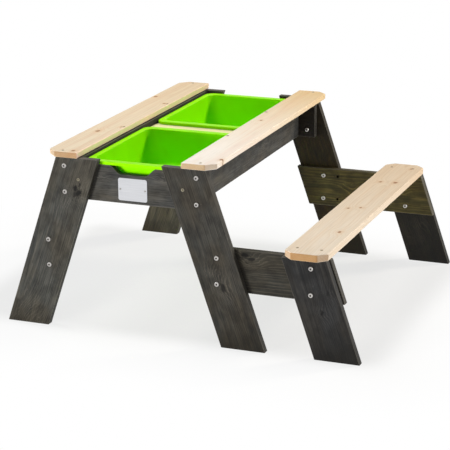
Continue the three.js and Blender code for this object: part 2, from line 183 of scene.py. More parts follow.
def plug(tree, node, sockets):
    """Fills a node's sockets, each with a value, a hex colour, another socket, or a node, whose first
    output in use is then taken."""
    for socket, value in sockets.items():
        if isinstance(value, bpy.types.Node):
            value = next(output for output in value.outputs if output.enabled)
        if isinstance(value, bpy.types.NodeSocket):
            tree.links.new(value, node.inputs[socket])
        else:
            node.inputs[socket].default_value = linear(value) if isinstance(value, str) else value


def add(tree, kind, sockets=None, stops=(), **settings):
    """Adds a shader node with its settings and links. A ramp's stops are greys or hex colours."""
    node = tree.nodes.new("ShaderNode" + kind)
    for name, value in settings.items():
        setattr(node, name, value)
    plug(tree, node, sockets or {})
    for i, (position, value) in enumerate(stops):
        elements = node.color_ramp.elements
        element = elements[i] if i < len(elements) else elements.new(1.0)
        element.position = position
        element.color = linear(value) if isinstance(value, str) else (value, value, value, 1.0)
    return node


def new_material(name):
    """A material with an empty principled shader, its tree and the shader."""
    material = bpy.data.materials.new(name)
    material.use_nodes = True
    tree = material.node_tree
    tree.nodes.clear()
    shader = add(tree, "BsdfPrincipled")
    add(tree, "OutputMaterial", {"Surface": shader})
    return material, tree, shader


# Wood


def grain_of(tree, lie, pith, ring_width, knots, ragged_by, seed):
    """Growth rings round a pith beside the board, pushed aside by its knots.
    Gives the place in the board, the late wood, the knots, how near they are, and the end grain."""
    along, depth = lie.along.normalized(), lie.depth.normalized()
    turn = Matrix((along, depth.cross(along), depth)).transposed().to_euler()
    coordinates = add(tree, "TexCoord")
    place = add(tree, "Mapping", {"Vector": coordinates.outputs["Object"], "Location": lie.origin,
                                  "Rotation": turn}, vector_type="TEXTURE")

    trunk = add(tree, "VectorMath", {0: place, 1: (1 / TRUNK_LENGTH, 1 / TRUNK_WIDTH, 1 / TRUNK_WIDTH),
                                     2: [seed * step for step in TRUNK_SEED_STEP]},
                operation="MULTIPLY_ADD")
    wander = add(tree, "TexNoise", {"Vector": trunk, "Scale": 1.0, "Detail": 2.0})
    from_pith = add(tree, "VectorMath", {0: place, 1: (0, 1, 1), 2: (0, -pith.across * MM, -pith.depth * MM)},
                    operation="MULTIPLY_ADD")
    radius = add(tree, "VectorMath", {0: from_pith}, operation="LENGTH")
    radius = add(tree, "Math", {0: wander, 1: PITH_WANDER, 2: radius}, operation="MULTIPLY_ADD")

    # A knot's edge is never a true ellipse
    ragged = add(tree, "TexNoise", {"Vector": place, "Scale": 1 / KNOT_EDGE_GRAIN, "Detail": 3.0})
    ragged_place = add(tree, "VectorMath", {0: ragged.outputs["Color"], 1: (ragged_by, ragged_by, 0),
                                            2: place}, operation="MULTIPLY_ADD")
    knot_mask = near_knot = 0.0
    for knot in knots:
        size = knot.size * MM
        reach = Vector((1 / (KNOT_STRETCH * size), 1 / size, 0))
        centre = Vector((knot.along * MM + ragged_by / 2, knot.across * MM + ragged_by / 2, 0))
        offset = [-reach[i] * centre[i] for i in range(3)]
        away = add(tree, "VectorMath", {0: ragged_place, 1: reach, 2: offset}, operation="MULTIPLY_ADD")
        distance = add(tree, "VectorMath", {0: away}, operation="LENGTH")
        squared = add(tree, "Math", {0: distance, 1: distance}, operation="MULTIPLY")
        fall = add(tree, "Math", {0: squared, 1: KNOT_FALL}, operation="MULTIPLY")
        bulge = add(tree, "Math", {0: fall}, operation="EXPONENT")
        radius = add(tree, "Math", {0: bulge, 1: KNOT_PUSH * size, 2: radius}, operation="MULTIPLY_ADD")
        near_knot = add(tree, "Math", {0: near_knot, 1: bulge}, operation="MAXIMUM")
        core = add(tree, "MapRange", {"Value": distance, "From Min": KNOT_RIM, "From Max": KNOT_HEART,
                                      "To Max": knot.core}, interpolation_type="SMOOTHSTEP")
        knot_mask = add(tree, "Math", {0: knot_mask, 1: core}, operation="MAXIMUM")

    years = add(tree, "Math", {0: radius, 1: 1 / ring_width}, operation="MULTIPLY")
    seasons = add(tree, "TexNoise", {"W": years, "Scale": YEARS_PACE, "Detail": 1.0}, noise_dimensions="1D")
    years = add(tree, "Math", {0: seasons, 1: YEARS_SWING, 2: years}, operation="MULTIPLY_ADD")
    part_of_year = add(tree, "Math", {0: years}, operation="FRACT")
    late_wood = add(tree, "ValToRGB", {"Fac": part_of_year},
                    stops=[(0.0, 0.05), (0.5, 0.1), (0.78, 0.6), (0.9, 1.0), (1.0, 0.05)])

    facing = add(tree, "VectorMath", {0: coordinates.outputs["Normal"], 1: along}, operation="DOT_PRODUCT")
    facing = add(tree, "Math", {0: facing}, operation="ABSOLUTE")
    end_grain = add(tree, "MapRange", {"Value": facing, "From Min": 0.5, "From Max": 0.85},
                    interpolation_type="SMOOTHSTEP")
    return place, late_wood, knot_mask, near_knot, end_grain


def stretched_noise(tree, place, along, across, seed, detail):
    """Noise drawn out along the fibres, with features of these two sizes."""
    stretched = add(tree, "VectorMath", {0: place, 1: (1 / along, 1 / across, 1 / across),
                                         2: [seed * step for step in FIBRE_SEED_STEP]},
                    operation="MULTIPLY_ADD")
    return add(tree, "TexNoise", {"Vector": stretched, "Scale": 1.0, "Detail": detail})


def planed_pine(name, lie, pith, knots, seed, early="#E9D9BF", late="#CFAE86", blush="#E2C6A8",
                far_tint="#FFFFFF", cut_end="#D2BA98", sapwood=None):
    """Planed, unpainted pine: pale early wood, honey late wood, small brown knots and a faint blush, with
    painted shade towards the far end.
    A board sawn near the bark has creamy sapwood from a place across it to its edge, painted paler also to
    stand in for the light on that edge."""
    material, tree, shader = new_material("planed_pine_" + name)
    place, late_wood, knot, near_knot, end_grain = grain_of(
        tree, lie, pith, PALE_RINGS, knots, PALE_KNOT_EDGE, seed)
    # Wood fibres are some 0.03 mm wide: they are drawn 2 mm wide, so that they show
    fibre = stretched_noise(tree, place, 70 * MM, 2 * MM, seed, 3.0)
    streak = stretched_noise(tree, place, 420 * MM, 17 * MM, seed + 5, 2.0)
    apart = add(tree, "SeparateXYZ", {0: place})

    bold = add(tree, "MapRange", {"Value": streak, "From Min": 0.3, "From Max": 0.7, "To Min": 0.2,
                                  "To Max": 0.62})
    ring = add(tree, "Math", {0: late_wood, 1: bold}, operation="MULTIPLY")
    heart = add(tree, "MapRange", {"Value": streak, "From Min": 0.48, "From Max": 0.75, "To Max": 0.8})
    shade = add(tree, "ValToRGB", {"Fac": fibre}, stops=[(0.3, 0.86), (0.55, 1.0)])
    halo = add(tree, "Math", {0: near_knot, 1: 2.0}, operation="POWER")
    halo = add(tree, "Math", {0: halo, 1: 0.45}, operation="MULTIPLY")
    # Painted shade: the board darkens towards its far end, as the light falls off. These stops are metres
    # along the board
    painted_falloff = add(tree, "ValToRGB", {"Fac": apart.outputs["X"]}, stops=[(0.15, "#FFFFFF"), (0.9, far_tint)])

    layers = [(ring, late, "MIX"), (heart, blush, "MIX"), (0.7, shade, "MULTIPLY")]
    # Sapwood, painted paler also as light falling on the board's edge
    if sapwood is not None:
        across = add(tree, "Math", {0: streak, 1: 8 * MM, 2: apart.outputs["Y"]}, operation="MULTIPLY_ADD")
        sapwood_and_painted_light = add(tree, "MapRange", {"Value": across, "From Min": sapwood,
                                           "From Max": sapwood + 5 * MM})
        layers.append((sapwood_and_painted_light, "#FFE0CA", "MIX"))
    # Cut fibres soak up light, so the ends come last and are darker and warmer
    layers += [(halo, "#DDB88C", "MIX"), (knot, "#9C6F48", "MIX"), (1.0, painted_falloff, "MULTIPLY"),
               (end_grain, cut_end, "MULTIPLY")]
    colour = early
    for amount, layer, blend in layers:
        colour = add(tree, "Mix", {0: amount, MIX_A: colour, MIX_B: layer}, data_type="RGBA",
                     blend_type=blend)

    roughness = add(tree, "MapRange", {"Value": fibre, "To Min": 0.5, "To Max": 0.72})
    height = add(tree, "Math", {0: fibre, 1: 0.6, 2: ring}, operation="MULTIPLY_ADD")
    bump = add(tree, "Bump", {"Height": height, "Distance": 0.12 * MM, "Strength": 0.6})
    plug(tree, shader, {"Base Color": colour, "Roughness": roughness, "Normal": bump, "IOR": 1.5,
                        "Specular IOR Level": 0.4})
    return material


def stained_pine(name, lie, pith, knots, seed, stain_and_shade, ring_width=STAINED_RINGS, figure=0.06):
    """Pine under a thin grey-black stain: the soft early wood drinks it and goes nearly black, the hard late
    wood and raised fibres stay lighter, ends and knots are darkest.
    Each board is darkened by its stain and by painted shade, and its arrises are lighter, partly from wear
    and partly as a painted highlight."""
    material, tree, shader = new_material("stained_pine_" + name)
    place, late_wood, knot, near_knot, end_grain = grain_of(
        tree, lie, pith, ring_width, knots, STAINED_KNOT_EDGE, seed)
    # Pores and fibres are finer than 0.1 mm: they are drawn over 2 mm wide, so that they show
    pores = stretched_noise(tree, place, 60 * MM, 2.2 * MM, seed, 2.0)
    fibre = stretched_noise(tree, place, 110 * MM, 2.4 * MM, seed + 9, 2.0)
    streak = stretched_noise(tree, place, 140 * MM, 13 * MM, seed + 3, 3.0)
    patch = stretched_noise(tree, place, 110 * MM, 60 * MM, seed + 6, 3.0)
    # The stain was wiped on by hand and dried in clouds
    cloud = stretched_noise(tree, place, 34 * MM, 24 * MM, seed + 12, 3.0)

    cool = add(tree, "ValToRGB", {"Fac": streak},
               stops=[(0.3, "#363737"), (0.52, "#414241"), (0.72, "#4D4E4C")])
    warm = add(tree, "ValToRGB", {"Fac": streak},
               stops=[(0.3, "#3B3833"), (0.52, "#46433D"), (0.72, "#524E46")])
    warmth = add(tree, "MapRange", {"Value": patch, "From Min": 0.4, "From Max": 0.62})
    bold = add(tree, "MapRange", {"Value": patch, "From Min": 0.3, "From Max": 0.65, "To Min": 0.32 + figure,
                                  "To Max": 0.08 + figure})
    # Rings crowd round a knot, and stand out there
    bold = add(tree, "Math", {0: near_knot, 1: 0.5, 2: bold}, operation="MULTIPLY_ADD", use_clamp=True)
    ring = add(tree, "Math", {0: late_wood, 1: bold}, operation="MULTIPLY")
    raised = add(tree, "MapRange", {"Value": fibre, "From Min": 0.55, "From Max": 0.72, "To Max": 0.14})
    wiped = add(tree, "ValToRGB", {"Fac": cloud}, stops=[(0.32, 0.62), (0.58, 1.05)])
    soaked = add(tree, "ValToRGB", {"Fac": pores}, stops=[(0.34, 0.3), (0.52, 1.0)])
    # The first 90 mm of each board, a leg's foot among them, is darker
    along = add(tree, "SeparateXYZ", {0: place}).outputs["X"]
    foot = add(tree, "Math", {0: along, 1: 1 / (90 * MM)}, operation="MULTIPLY")
    foot = add(tree, "ValToRGB", {"Fac": foot}, stops=[(0.0, "#B4AFA4"), (1.0, "#FFFFFF")])
    ends = add(tree, "Math", {0: end_grain, 1: 0.6}, operation="MULTIPLY")
    rubbed_and_sheen = add(tree, "MapRange", {"Value": fibre, "From Min": 0.25, "From Max": 0.6, "To Min": 0.15,
                                    "To Max": 0.55})
    # Arrises are painted lighter: partly wear, partly a painted highlight
    arris = add(tree, "Attribute", attribute_name="arris").outputs["Fac"]
    wear_and_sheen = add(tree, "Math", {0: arris, 1: rubbed_and_sheen}, operation="MULTIPLY")

    # Each board's given darkness is partly its stain and partly painted shade
    layers = [(warmth, warm, "MIX"), (ring, "#706B63", "MIX"), (raised, "#807B72", "MIX"),
              (1.0, wiped, "MULTIPLY"), (0.65, soaked, "MULTIPLY"), (1.0, foot, "MULTIPLY"),
              (knot, "#131211", "MIX"), (ends, "#2E2B28", "MIX"), (1.0, stain_and_shade, "MULTIPLY"),
              (wear_and_sheen, "#77736A", "MIX")]
    colour = cool
    for amount, layer, blend in layers:
        colour = add(tree, "Mix", {0: amount, MIX_A: colour, MIX_B: layer}, data_type="RGBA",
                     blend_type=blend)

    roughness = add(tree, "MapRange", {"Value": pores, "To Min": 0.55, "To Max": 0.8})
    height = add(tree, "Math", {0: pores, 1: 0.9, 2: late_wood}, operation="MULTIPLY_ADD")
    bump = add(tree, "Bump", {"Height": height, "Distance": 0.3 * MM, "Strength": 0.8})
    plug(tree, shader, {"Base Color": colour, "Roughness": roughness, "Normal": bump, "IOR": 1.5,
                        "Specular IOR Level": 0.3})
    return material


# Plastic and metal


def moulded_polypropylene():
    """Lime green polypropylene, injection moulded: an even, slightly glossy skin with fine scuffs."""
    material, tree, shader = new_material("moulded_polypropylene")
    place = add(tree, "TexCoord").outputs["Object"]
    flow = add(tree, "TexNoise", {"Vector": place, "Scale": 1 / (90 * MM), "Detail": 2.0})
    colour = add(tree, "ValToRGB", {"Fac": flow}, stops=[(0.3, "#94F000"), (0.7, "#9AF600")])
    # Scuffs are hair thin: they are drawn 1.5 mm wide
    scuffs = add(tree, "TexNoise", {"Vector": place, "Scale": 1 / (1.5 * MM), "Detail": 3.0,
                                    "Distortion": 1.2})
    roughness = add(tree, "MapRange", {"Value": scuffs, "From Min": 0.35, "From Max": 0.7, "To Min": 0.36,
                                       "To Max": 0.5})
    # Spark-eroded mould texture, some 0.1 mm in the real tub, drawn at 0.9 mm
    texture = add(tree, "TexNoise", {"Vector": place, "Scale": 1 / (0.9 * MM), "Detail": 1.0})
    bump = add(tree, "Bump", {"Height": texture, "Distance": 0.03 * MM, "Strength": 0.4})
    # Light passes some millimetres into the plastic, so the thin walls glow a little in their own shade
    plug(tree, shader, {"Base Color": colour, "Roughness": roughness, "Normal": bump, "IOR": 1.49,
                        "Specular IOR Level": 0.05, "Subsurface Weight": 0.35,
                        "Subsurface Radius": (0.6, 1.0, 0.05), "Subsurface Scale": 5 * MM})
    return material


def brushed_aluminium():
    """Aluminium sheet brushed along its length: fine level lines that spread the highlight."""
    material, tree, shader = new_material("brushed_aluminium")
    place = add(tree, "TexCoord").outputs["Object"]
    # Brush lines are some 0.05 mm apart: they are drawn 0.8 mm apart
    lines = add(tree, "VectorMath", {0: place, 1: (1 / (60 * MM), 1 / (0.8 * MM), 1 / (0.8 * MM))},
                operation="MULTIPLY")
    brushed = add(tree, "TexNoise", {"Vector": lines, "Scale": 1.0, "Detail": 3.0})
    colour = add(tree, "ValToRGB", {"Fac": brushed}, stops=[(0.3, "#D2D3D7"), (0.7, "#E4E5E8")])
    roughness = add(tree, "MapRange", {"Value": brushed, "To Min": 0.26, "To Max": 0.4})
    bump = add(tree, "Bump", {"Height": brushed, "Distance": 0.03 * MM, "Strength": 0.5})
    plug(tree, shader, {"Base Color": colour, "Roughness": roughness, "Normal": bump, "Metallic": 1.0})
    return material


def zinc_plated_steel():
    """Bright zinc on turned steel: silvery, clouded by the plating bath, and painted dark in the sockets as
    shade.
    """
    material, tree, shader = new_material("zinc_plated_steel")
    place = add(tree, "TexCoord").outputs["Object"]
    bloom = add(tree, "TexNoise", {"Vector": place, "Scale": 1 / (3 * MM), "Detail": 3.0})
    colour = add(tree, "ValToRGB", {"Fac": bloom}, stops=[(0.3, "#BDB9B4"), (0.7, "#D9D6D3")])
    # Painted shade in the sockets
    painted_recess_shade = add(tree, "Attribute", attribute_name="painted_recess_shade").outputs["Fac"]
    colour = add(tree, "Mix", {0: painted_recess_shade, MIX_A: colour, MIX_B: "#5A5651"}, data_type="RGBA")
    roughness = add(tree, "MapRange", {"Value": bloom, "To Min": 0.25, "To Max": 0.42})
    plug(tree, shader, {"Base Color": colour, "Roughness": roughness, "Metallic": 1.0})
    return material


def yellow_passivated_steel():
    """Yellow-passivated wood screws, dulled by weather: straw metal, painted brown in the recess as shade."""
    material, tree, shader = new_material("yellow_passivated_steel")
    place = add(tree, "TexCoord").outputs["Object"]
    tarnish = add(tree, "TexNoise", {"Vector": place, "Scale": 1 / (2 * MM), "Detail": 3.0})
    colour = add(tree, "ValToRGB", {"Fac": tarnish}, stops=[(0.35, "#8E8672"), (0.7, "#C4BDA6")])
    # Painted shade in the recess
    painted_recess_shade = add(tree, "Attribute", attribute_name="painted_recess_shade").outputs["Fac"]
    colour = add(tree, "Mix", {0: painted_recess_shade, MIX_A: colour, MIX_B: "#2E2922"}, data_type="RGBA")
    roughness = add(tree, "MapRange", {"Value": tarnish, "To Min": 0.6, "To Max": 0.4})
    plug(tree, shader, {"Base Color": colour, "Roughness": roughness, "Metallic": 1.0})
    return material


# Shaping


def skin(name, rings):
    """One closed mesh over a stack of rings with equally many points, capped at both ends."""
    count = len(rings[0])
    faces = []
    for ring in range(len(rings) - 1):
        for i in range(count):
            step = (i + 1) % count
            low, high = ring * count, (ring + 1) * count
            faces.append((low + i, low + step, high + step, high + i))
    faces.append(tuple(reversed(range(count))))
    faces.append(tuple(range((len(rings) - 1) * count, len(rings) * count)))
    mesh = bpy.data.meshes.new(name)
    mesh.from_pydata([point for ring in rings for point in ring], [], faces)
    form = bmesh.new()
    form.from_mesh(mesh)
    bmesh.ops.recalc_face_normals(form, faces=form.faces)
    form.to_mesh(mesh)
    form.free()
    piece = bpy.data.objects.new(name, mesh)
    bpy.context.scene.collection.objects.link(piece)
    return piece


def mark_points(piece, name, values):
    """Writes one value per point, for the piece's material to read."""
    attribute = piece.data.attributes.new(name, "FLOAT", "POINT")
    attribute.data.foreach_set("value", values)


def smooth(piece, crease):
    """Shades a piece smooth, but for edges sharper than its crease in degrees."""
    piece.data.shade_smooth()
    piece.data.set_sharp_from_angle(angle=radians(crease))
    weighted = piece.modifiers.new("flat_faces_stay_flat", "WEIGHTED_NORMAL")
    weighted.keep_sharp = True


def cut_away(piece, cutters):
    """Cuts holes with closed meshes, which are then gone."""
    for cutter in cutters:
        hole = piece.modifiers.new("hole", "BOOLEAN")
        hole.object = cutter
        hole.solver = "EXACT"
    evaluated = piece.evaluated_get(bpy.context.evaluated_depsgraph_get())
    mesh = bpy.data.meshes.new_from_object(evaluated)
    piece.modifiers.clear()
    piece.data = mesh
    for cutter in cutters:
        bpy.data.objects.remove(cutter)


def fit(piece, node, body, material):
    """Puts a finished piece in a CAD node's place."""
    piece.data.materials.clear()
    piece.data.materials.append(material)
    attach(piece, body)
    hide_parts(node)


# Boards


def straight_edges(width):
    """The two long edges of a plain board, as distances across it."""
    return lambda along: 0.0, lambda along: width


def clipped_edges(length, width, low_clip, high_clip):
    """The two long edges of a board whose corners are cut off at 45 degrees."""
    def cut_back(along, clip):
        return max(0.0, clip - min(along, length - along))
    return lambda along: cut_back(along, low_clip), lambda along: width - cut_back(along, high_clip)


def stations(length, arris, breaks):
    """Distances along a board, each with how far its section is drawn in there to round the ends."""
    turns = [QUARTER * i / ARRIS_STEPS for i in range(ARRIS_STEPS + 1)]
    near_end = [(arris * (1 - cos(turn)), arris * (1 - sin(turn))) for turn in turns]
    far_end = [(length - along, drawn_in) for along, drawn_in in reversed(near_end)]
    count = max(1, round((length - 2 * arris) / BOARD_STEP))
    even = [arris + (length - 2 * arris) * i / count for i in range(1, count)]
    kept = [along for along in even if all(abs(along - other) > BOARD_STEP / 4 for other in breaks)]
    middle = [(along, 0.0) for along in sorted(kept + list(breaks))]
    return near_end + middle + far_end


def section(low, high, thickness, drawn_in, radii):
    """A board's rounded section as points of across, depth and how much each lies on an arris."""
    left, right = low + drawn_in, high - drawn_in
    bottom, top = drawn_in, thickness - drawn_in
    corners = [(left, bottom, 1, 1), (right, bottom, -1, 1), (right, top, -1, -1), (left, top, 1, -1)]
    points = []
    for i, ((x, y, inward_x, inward_y), radius) in enumerate(zip(corners, radii)):
        for step in range(ARRIS_STEPS + 1):
            turn = QUARTER * (i + 2 + step / ARRIS_STEPS)
            across = x + inward_x * radius + radius * cos(turn)
            depth = y + inward_y * radius + radius * sin(turn)
            points.append((across, depth, sin(pi * step / ARRIS_STEPS)))
        # Only the two broad faces are divided
        if i % 2 == 0:
            next_x = corners[i + 1][0] - inward_x * radii[i + 1]
            start_x = points[-1][0]
            for step in range(1, FACE_STEPS):
                share = step / FACE_STEPS
                points.append((start_x + (next_x - start_x) * share, points[-1][1], 0.0))
    return points


def board(node, lie, length, thickness, edges, arris, seed, breaks=()):
    """A board as rings along its grain, its arrises eased a little unevenly, as by wear."""
    low_edge, high_edge = edges
    rings = []
    on_arris = []
    for along, drawn_in in stations(length, arris, breaks):
        worn_at = along / ARRIS_WEAR_LENGTH
        wear = [noise.noise(Vector((worn_at, corner * WEAR_CORNER_STEP, seed * WEAR_SEED_STEP)))
                for corner in range(4)]
        radii = [max(LEAST_ARRIS, arris * (1 + ARRIS_WEAR * amount) - drawn_in) for amount in wear]
        points = section(low_edge(along), high_edge(along), thickness, drawn_in, radii)
        rings.append([lie.origin + lie.along * along + lie.across * across + lie.depth * depth
                      for across, depth, _ in points])
        end_wear_and_sheen = sin(pi * min(1.0, drawn_in / arris))
        on_arris += [max(wear_and_sheen, end_wear_and_sheen) for _, _, wear_and_sheen in points]
    piece = skin(node + "_board", rings)
    mark_points(piece, "arris", on_arris)
    return piece


def low_box(node):
    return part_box(node)[0]


def high_box(node):
    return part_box(node)[1]


def middle_of(node):
    return (low_box(node) + high_box(node)) / 2


# What the frame says of the boards
leg_height = high_box("leg_near_right").z
leg_top_edge = high_box("crosspiece_near").x
leg_slope = (high_box("leg_near_right").x - leg_top_edge) / leg_height
leg_run = high_box("leg_near_right").x - low_box("leg_near_right").x - leg_slope * leg_height
leg_stretch = hypot(1, leg_slope)
middle_x = (low_box("crosspiece_near").x + leg_top_edge) / 2
rim_seat = high_box("tub_batten").z


def make_leg(node, side, knots, seed, stain_and_shade):
    """A leg's sections lie level, so its along axis leans and its across axis is level."""
    low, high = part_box(node)
    foot_x = low.x if side < 0 else high.x - leg_run
    along = Vector((-side * leg_slope, 0, 1)) / leg_stretch
    lie = Lie(Vector((foot_x, low.y, low.z)), along, X, Y)
    length = (high.z - low.z) * leg_stretch
    piece = board(node, lie, length, high.y - low.y, straight_edges(leg_run), SAWN_ARRIS, seed)
    return piece, stained_pine(node, lie, LEG_PITH, knots, seed, stain_and_shade)


def make_bench_rail(node, pith, knots, seed, stain_and_shade):
    """A rail with two spare pilot holes, its ends sawn to the slope of the legs."""
    low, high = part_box(node)
    width, thickness = high.z - low.z, high.y - low.y
    lie = Lie(Vector((low.x + leg_slope * width, low.y, low.z)), X, Vector((-leg_slope, 0, 1)), Y)
    length = high.x - low.x - leg_slope * width
    piece = board(node, lie, length, thickness, straight_edges(width), SAWN_ARRIS, seed)
    hole_x = middle_of("bolt_near_right_lower_1").x + PILOT_HOLE_OFFSET
    rows = [(PILOT_HOLE_RADIUS, -thickness), (PILOT_HOLE_RADIUS, 2 * thickness)]
    cut_away(piece, [turned(f"{node}_hole_{i}", rows, Vector((hole_x, low.y, middle_of(bolt).z)), Y)
                     for i, bolt in enumerate(("bolt_near_bench_1", "bolt_near_bench_2"))])
    grain_lie = Lie(Vector((low.x, low.y, high.z)), X, -Z, Y)
    return piece, stained_pine(node, grain_lie, pith, knots, seed, stain_and_shade, RAIL_RINGS, figure=0.4)


def crosspiece_profile(low, high):
    """The crosspiece's upper edge: a recess for the tub's rim, and a finger notch in its middle."""
    recess = low_box("apron_right").x - middle_x
    height = high.z - low.z
    shoulder = rim_seat - low.z
    mouth = NOTCH_MOUTH_WIDTH / 2 + NOTCH_CORNER
    foot = NOTCH_FLOOR_WIDTH / 2 - NOTCH_CORNER

    def upper_edge(along):
        from_middle = abs(low.x + along - middle_x)
        if from_middle > recess:
            return height
        # The notch's sides are curved like an S
        share = min(1.0, max(0.0, (from_middle - foot) / (mouth - foot)))
        return shoulder - NOTCH_DEPTH * (1 - share * share * (3 - 2 * share))

    middle = middle_x - low.x
    curve_steps = round((mouth - foot) / NOTCH_STEP)
    curve = [foot + (mouth - foot) * i / curve_steps for i in range(curve_steps + 1)]
    one_side = curve + [recess - SAW_KERF / 2, recess + SAW_KERF / 2]
    return upper_edge, [middle - away for away in one_side] + [middle + away for away in one_side]


def make_crosspiece(node, knots, seed, stain_and_shade):
    low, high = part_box(node)
    lie = Lie(low, X, Z, Y)
    upper_edge, breaks = crosspiece_profile(low, high)
    edges = (lambda along: 0.0, upper_edge)
    piece = board(node, lie, high.x - low.x, high.y - low.y, edges, SAWN_ARRIS, seed, breaks)
    grain_lie = Lie(Vector((low.x, low.y, high.z)), X, -Z, Y)
    return piece, stained_pine(node, grain_lie, CROSSPIECE_PITH, knots, seed, stain_and_shade)


def make_apron(node, knots, seed, stain_and_shade):
    low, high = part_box(node)
    lie = Lie(low + Vector((high.x - low.x, 0, 0)), Y, Z, -X)
    edges = straight_edges(high.z - low.z)
    piece = board(node, lie, high.y - low.y, high.x - low.x, edges, SAWN_ARRIS, seed)
    grain_lie = Lie(Vector((high.x, low.y, high.z)), Y, -Z, -X)
    return piece, stained_pine(node, grain_lie, APRON_PITH, knots, seed, stain_and_shade)


def make_long_board(node, low_clip, high_clip, pith, knots, seed, **colours):
    """A tabletop or seat board, with its grain along the table."""
    low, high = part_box(node)
    lie = Lie(low, Y, X, Z)
    grain_lie = Lie(Vector((low.x, low.y, high.z)), Y, X, -Z)
    length, width = high.y - low.y, high.x - low.x
    edges = clipped_edges(length, width, low_clip, high_clip)
    breaks = {clip for clip in (low_clip, high_clip) if clip}
    breaks |= {length - clip for clip in breaks}
    piece = board(node, lie, length, high.z - low.z, edges, PLANED_ARRIS, seed, sorted(breaks))
    return piece, planed_pine(node, grain_lie, pith, knots, seed, **colours)


def make_batten(node, seed):
    low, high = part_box(node)
    lie = Lie(low + Vector((0, high.y - low.y, 0)), X, -Y, Z)
    edges = straight_edges(high.y - low.y)
    piece = board(node, lie, high.x - low.x, high.z - low.z, edges, SAWN_ARRIS, seed)
    # The pale pine is tinted yellow-green: a painted reflection of the green tubs
    return piece, planed_pine(node, lie, BATTEN_PITH, [], seed, early="#F4EDB8", late="#DED39A",
                              blush="#EBDFA6")


# Turned pieces


def hexagon(flats):
    """The radius of a hexagon at each angle."""
    return lambda angle: flats / 2 / cos(angle % (pi / 3) - pi / 6)


def cross_recess(reach, width):
    """The radius of a cross with arms of this reach and width at each angle."""
    def radius(angle):
        from_arm = abs((angle + pi / 4) % QUARTER - pi / 4)
        return min(reach, width / 2 / max(sin(from_arm), width / 2 / reach))
    return radius


def turned(name, rows, centre, axis, spin=0.0, painted_recess_shade_rows=0, both_ends=False):
    """A closed piece round an axis. A row is a radius, or a radius for each angle, and a distance along.
    The last rows may be marked for painted shade in a recess, and so may the first."""
    turn = Z.rotation_difference(axis)
    rings = []
    for radius, along in rows:
        ring = []
        for i in range(TURNED_SIDES):
            angle = 2 * pi * i / TURNED_SIDES
            reach = radius(angle) if callable(radius) else radius
            point = Vector((reach * cos(angle + spin), reach * sin(angle + spin), along))
            ring.append(centre + turn @ point)
        rings.append(ring)
    piece = skin(name, rings)
    last = len(rows) - painted_recess_shade_rows
    in_painted_recess_shade = [1.0 if row >= last or both_ends and row < painted_recess_shade_rows else 0.0
                 for row in range(len(rows)) for _ in range(TURNED_SIDES)]
    mark_points(piece, "painted_recess_shade", in_painted_recess_shade)
    return piece


def dome(radius, crown, low, high):
    """Rows of a domed rim, from its edge up to a flat crown."""
    turns = [QUARTER * i / DOME_STEPS for i in range(DOME_STEPS + 1)]
    return [(crown + (radius - crown) * cos(turn), low + (high - low) * sin(turn))
            for turn in turns]


def make_bolt(node, outward, spin):
    """A connector bolt with its sleeve nut: two domed heads, each with a hexagon socket."""
    low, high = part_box(node)
    centre = Vector(((low.x + high.x) / 2, high.y if outward > 0 else low.y, (low.z + high.z) / 2))
    length = high.y - low.y
    head = (high.x - low.x) / 2
    socket = hexagon(BOLT_SOCKET_FLATS)
    socket_mouth = hexagon(BOLT_SOCKET_FLATS * BOLT_SOCKET_FLARE)
    seat = -BOLT_HEAD_HEIGHT
    outer = [(BOLT_SHANK_RADIUS, seat), (head * BOLT_UNDERSIDE, seat), (head, seat + BOLT_RIM_HEIGHT / 4)]
    outer += dome(head, BOLT_CROWN_RADIUS, seat + BOLT_RIM_HEIGHT, 0.0)
    outer += [(socket_mouth, 0.0), (socket, -BOLT_RIM_HEIGHT / 4), (socket, -BOLT_SOCKET_DEPTH)]
    inner = [(radius, -length - along) for radius, along in reversed(outer)]
    return turned(node + "_head", inner + outer, centre, Y * outward, spin, painted_recess_shade_rows=2, both_ends=True)


def make_screw(node, axis, spin, sink=SCREW_SINK):
    """A countersunk wood screw with a cross recess, driven a little below the surface."""
    low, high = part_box(node)
    reach = (high - low) / 2
    length = 2 * abs(reach.dot(axis))
    head = min(reach)
    top = middle_of(node) + axis * (length / 2 - sink)
    shank = head * SCREW_SHANK
    length -= sink
    mouth = cross_recess(head * RECESS_MOUTH_REACH, head * RECESS_MOUTH_WIDTH)
    waist = cross_recess(head * RECESS_WAIST_REACH, head * RECESS_WAIST_WIDTH)
    rows = [(shank * SCREW_POINT, -length), (shank, -length + SCREW_POINT_LENGTH * shank),
            (shank, -head * SCREW_CONE), (head * SCREW_EDGE, -head * SCREW_EDGE_DROP),
            (head * SCREW_FACE, 0.0), (mouth, 0.0), (waist, -RECESS_DEPTH * RECESS_WAIST_DEPTH),
            (head * RECESS_TIP, -RECESS_DEPTH)]
    return turned(node + "_head", rows, top, axis, spin, painted_recess_shade_rows=2)


def countersink(node, axis, margin=COUNTERSINK_MARGIN):
    """The conical hole that a screw's head sits in, a little wider and deeper than the head."""
    low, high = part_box(node)
    reach = (high - low) / 2
    head = min(reach) + margin
    top = middle_of(node) + axis * abs(reach.dot(axis))
    rows = [(head * COUNTERSINK_FOOT, -head - SCREW_SINK), (head, -SCREW_SINK), (head, head)]
    return turned(node + "_countersink", rows, top, axis)


# Tubs


def corner_arc(radius):
    """A rounded corner from a side wall to an end wall, as distances in from both walls."""
    turns = [QUARTER * i / TUB_CORNER_STEPS for i in range(TUB_CORNER_STEPS + 1)]
    return [(radius * (1 - cos(turn)), radius * (1 - sin(turn))) for turn in turns]


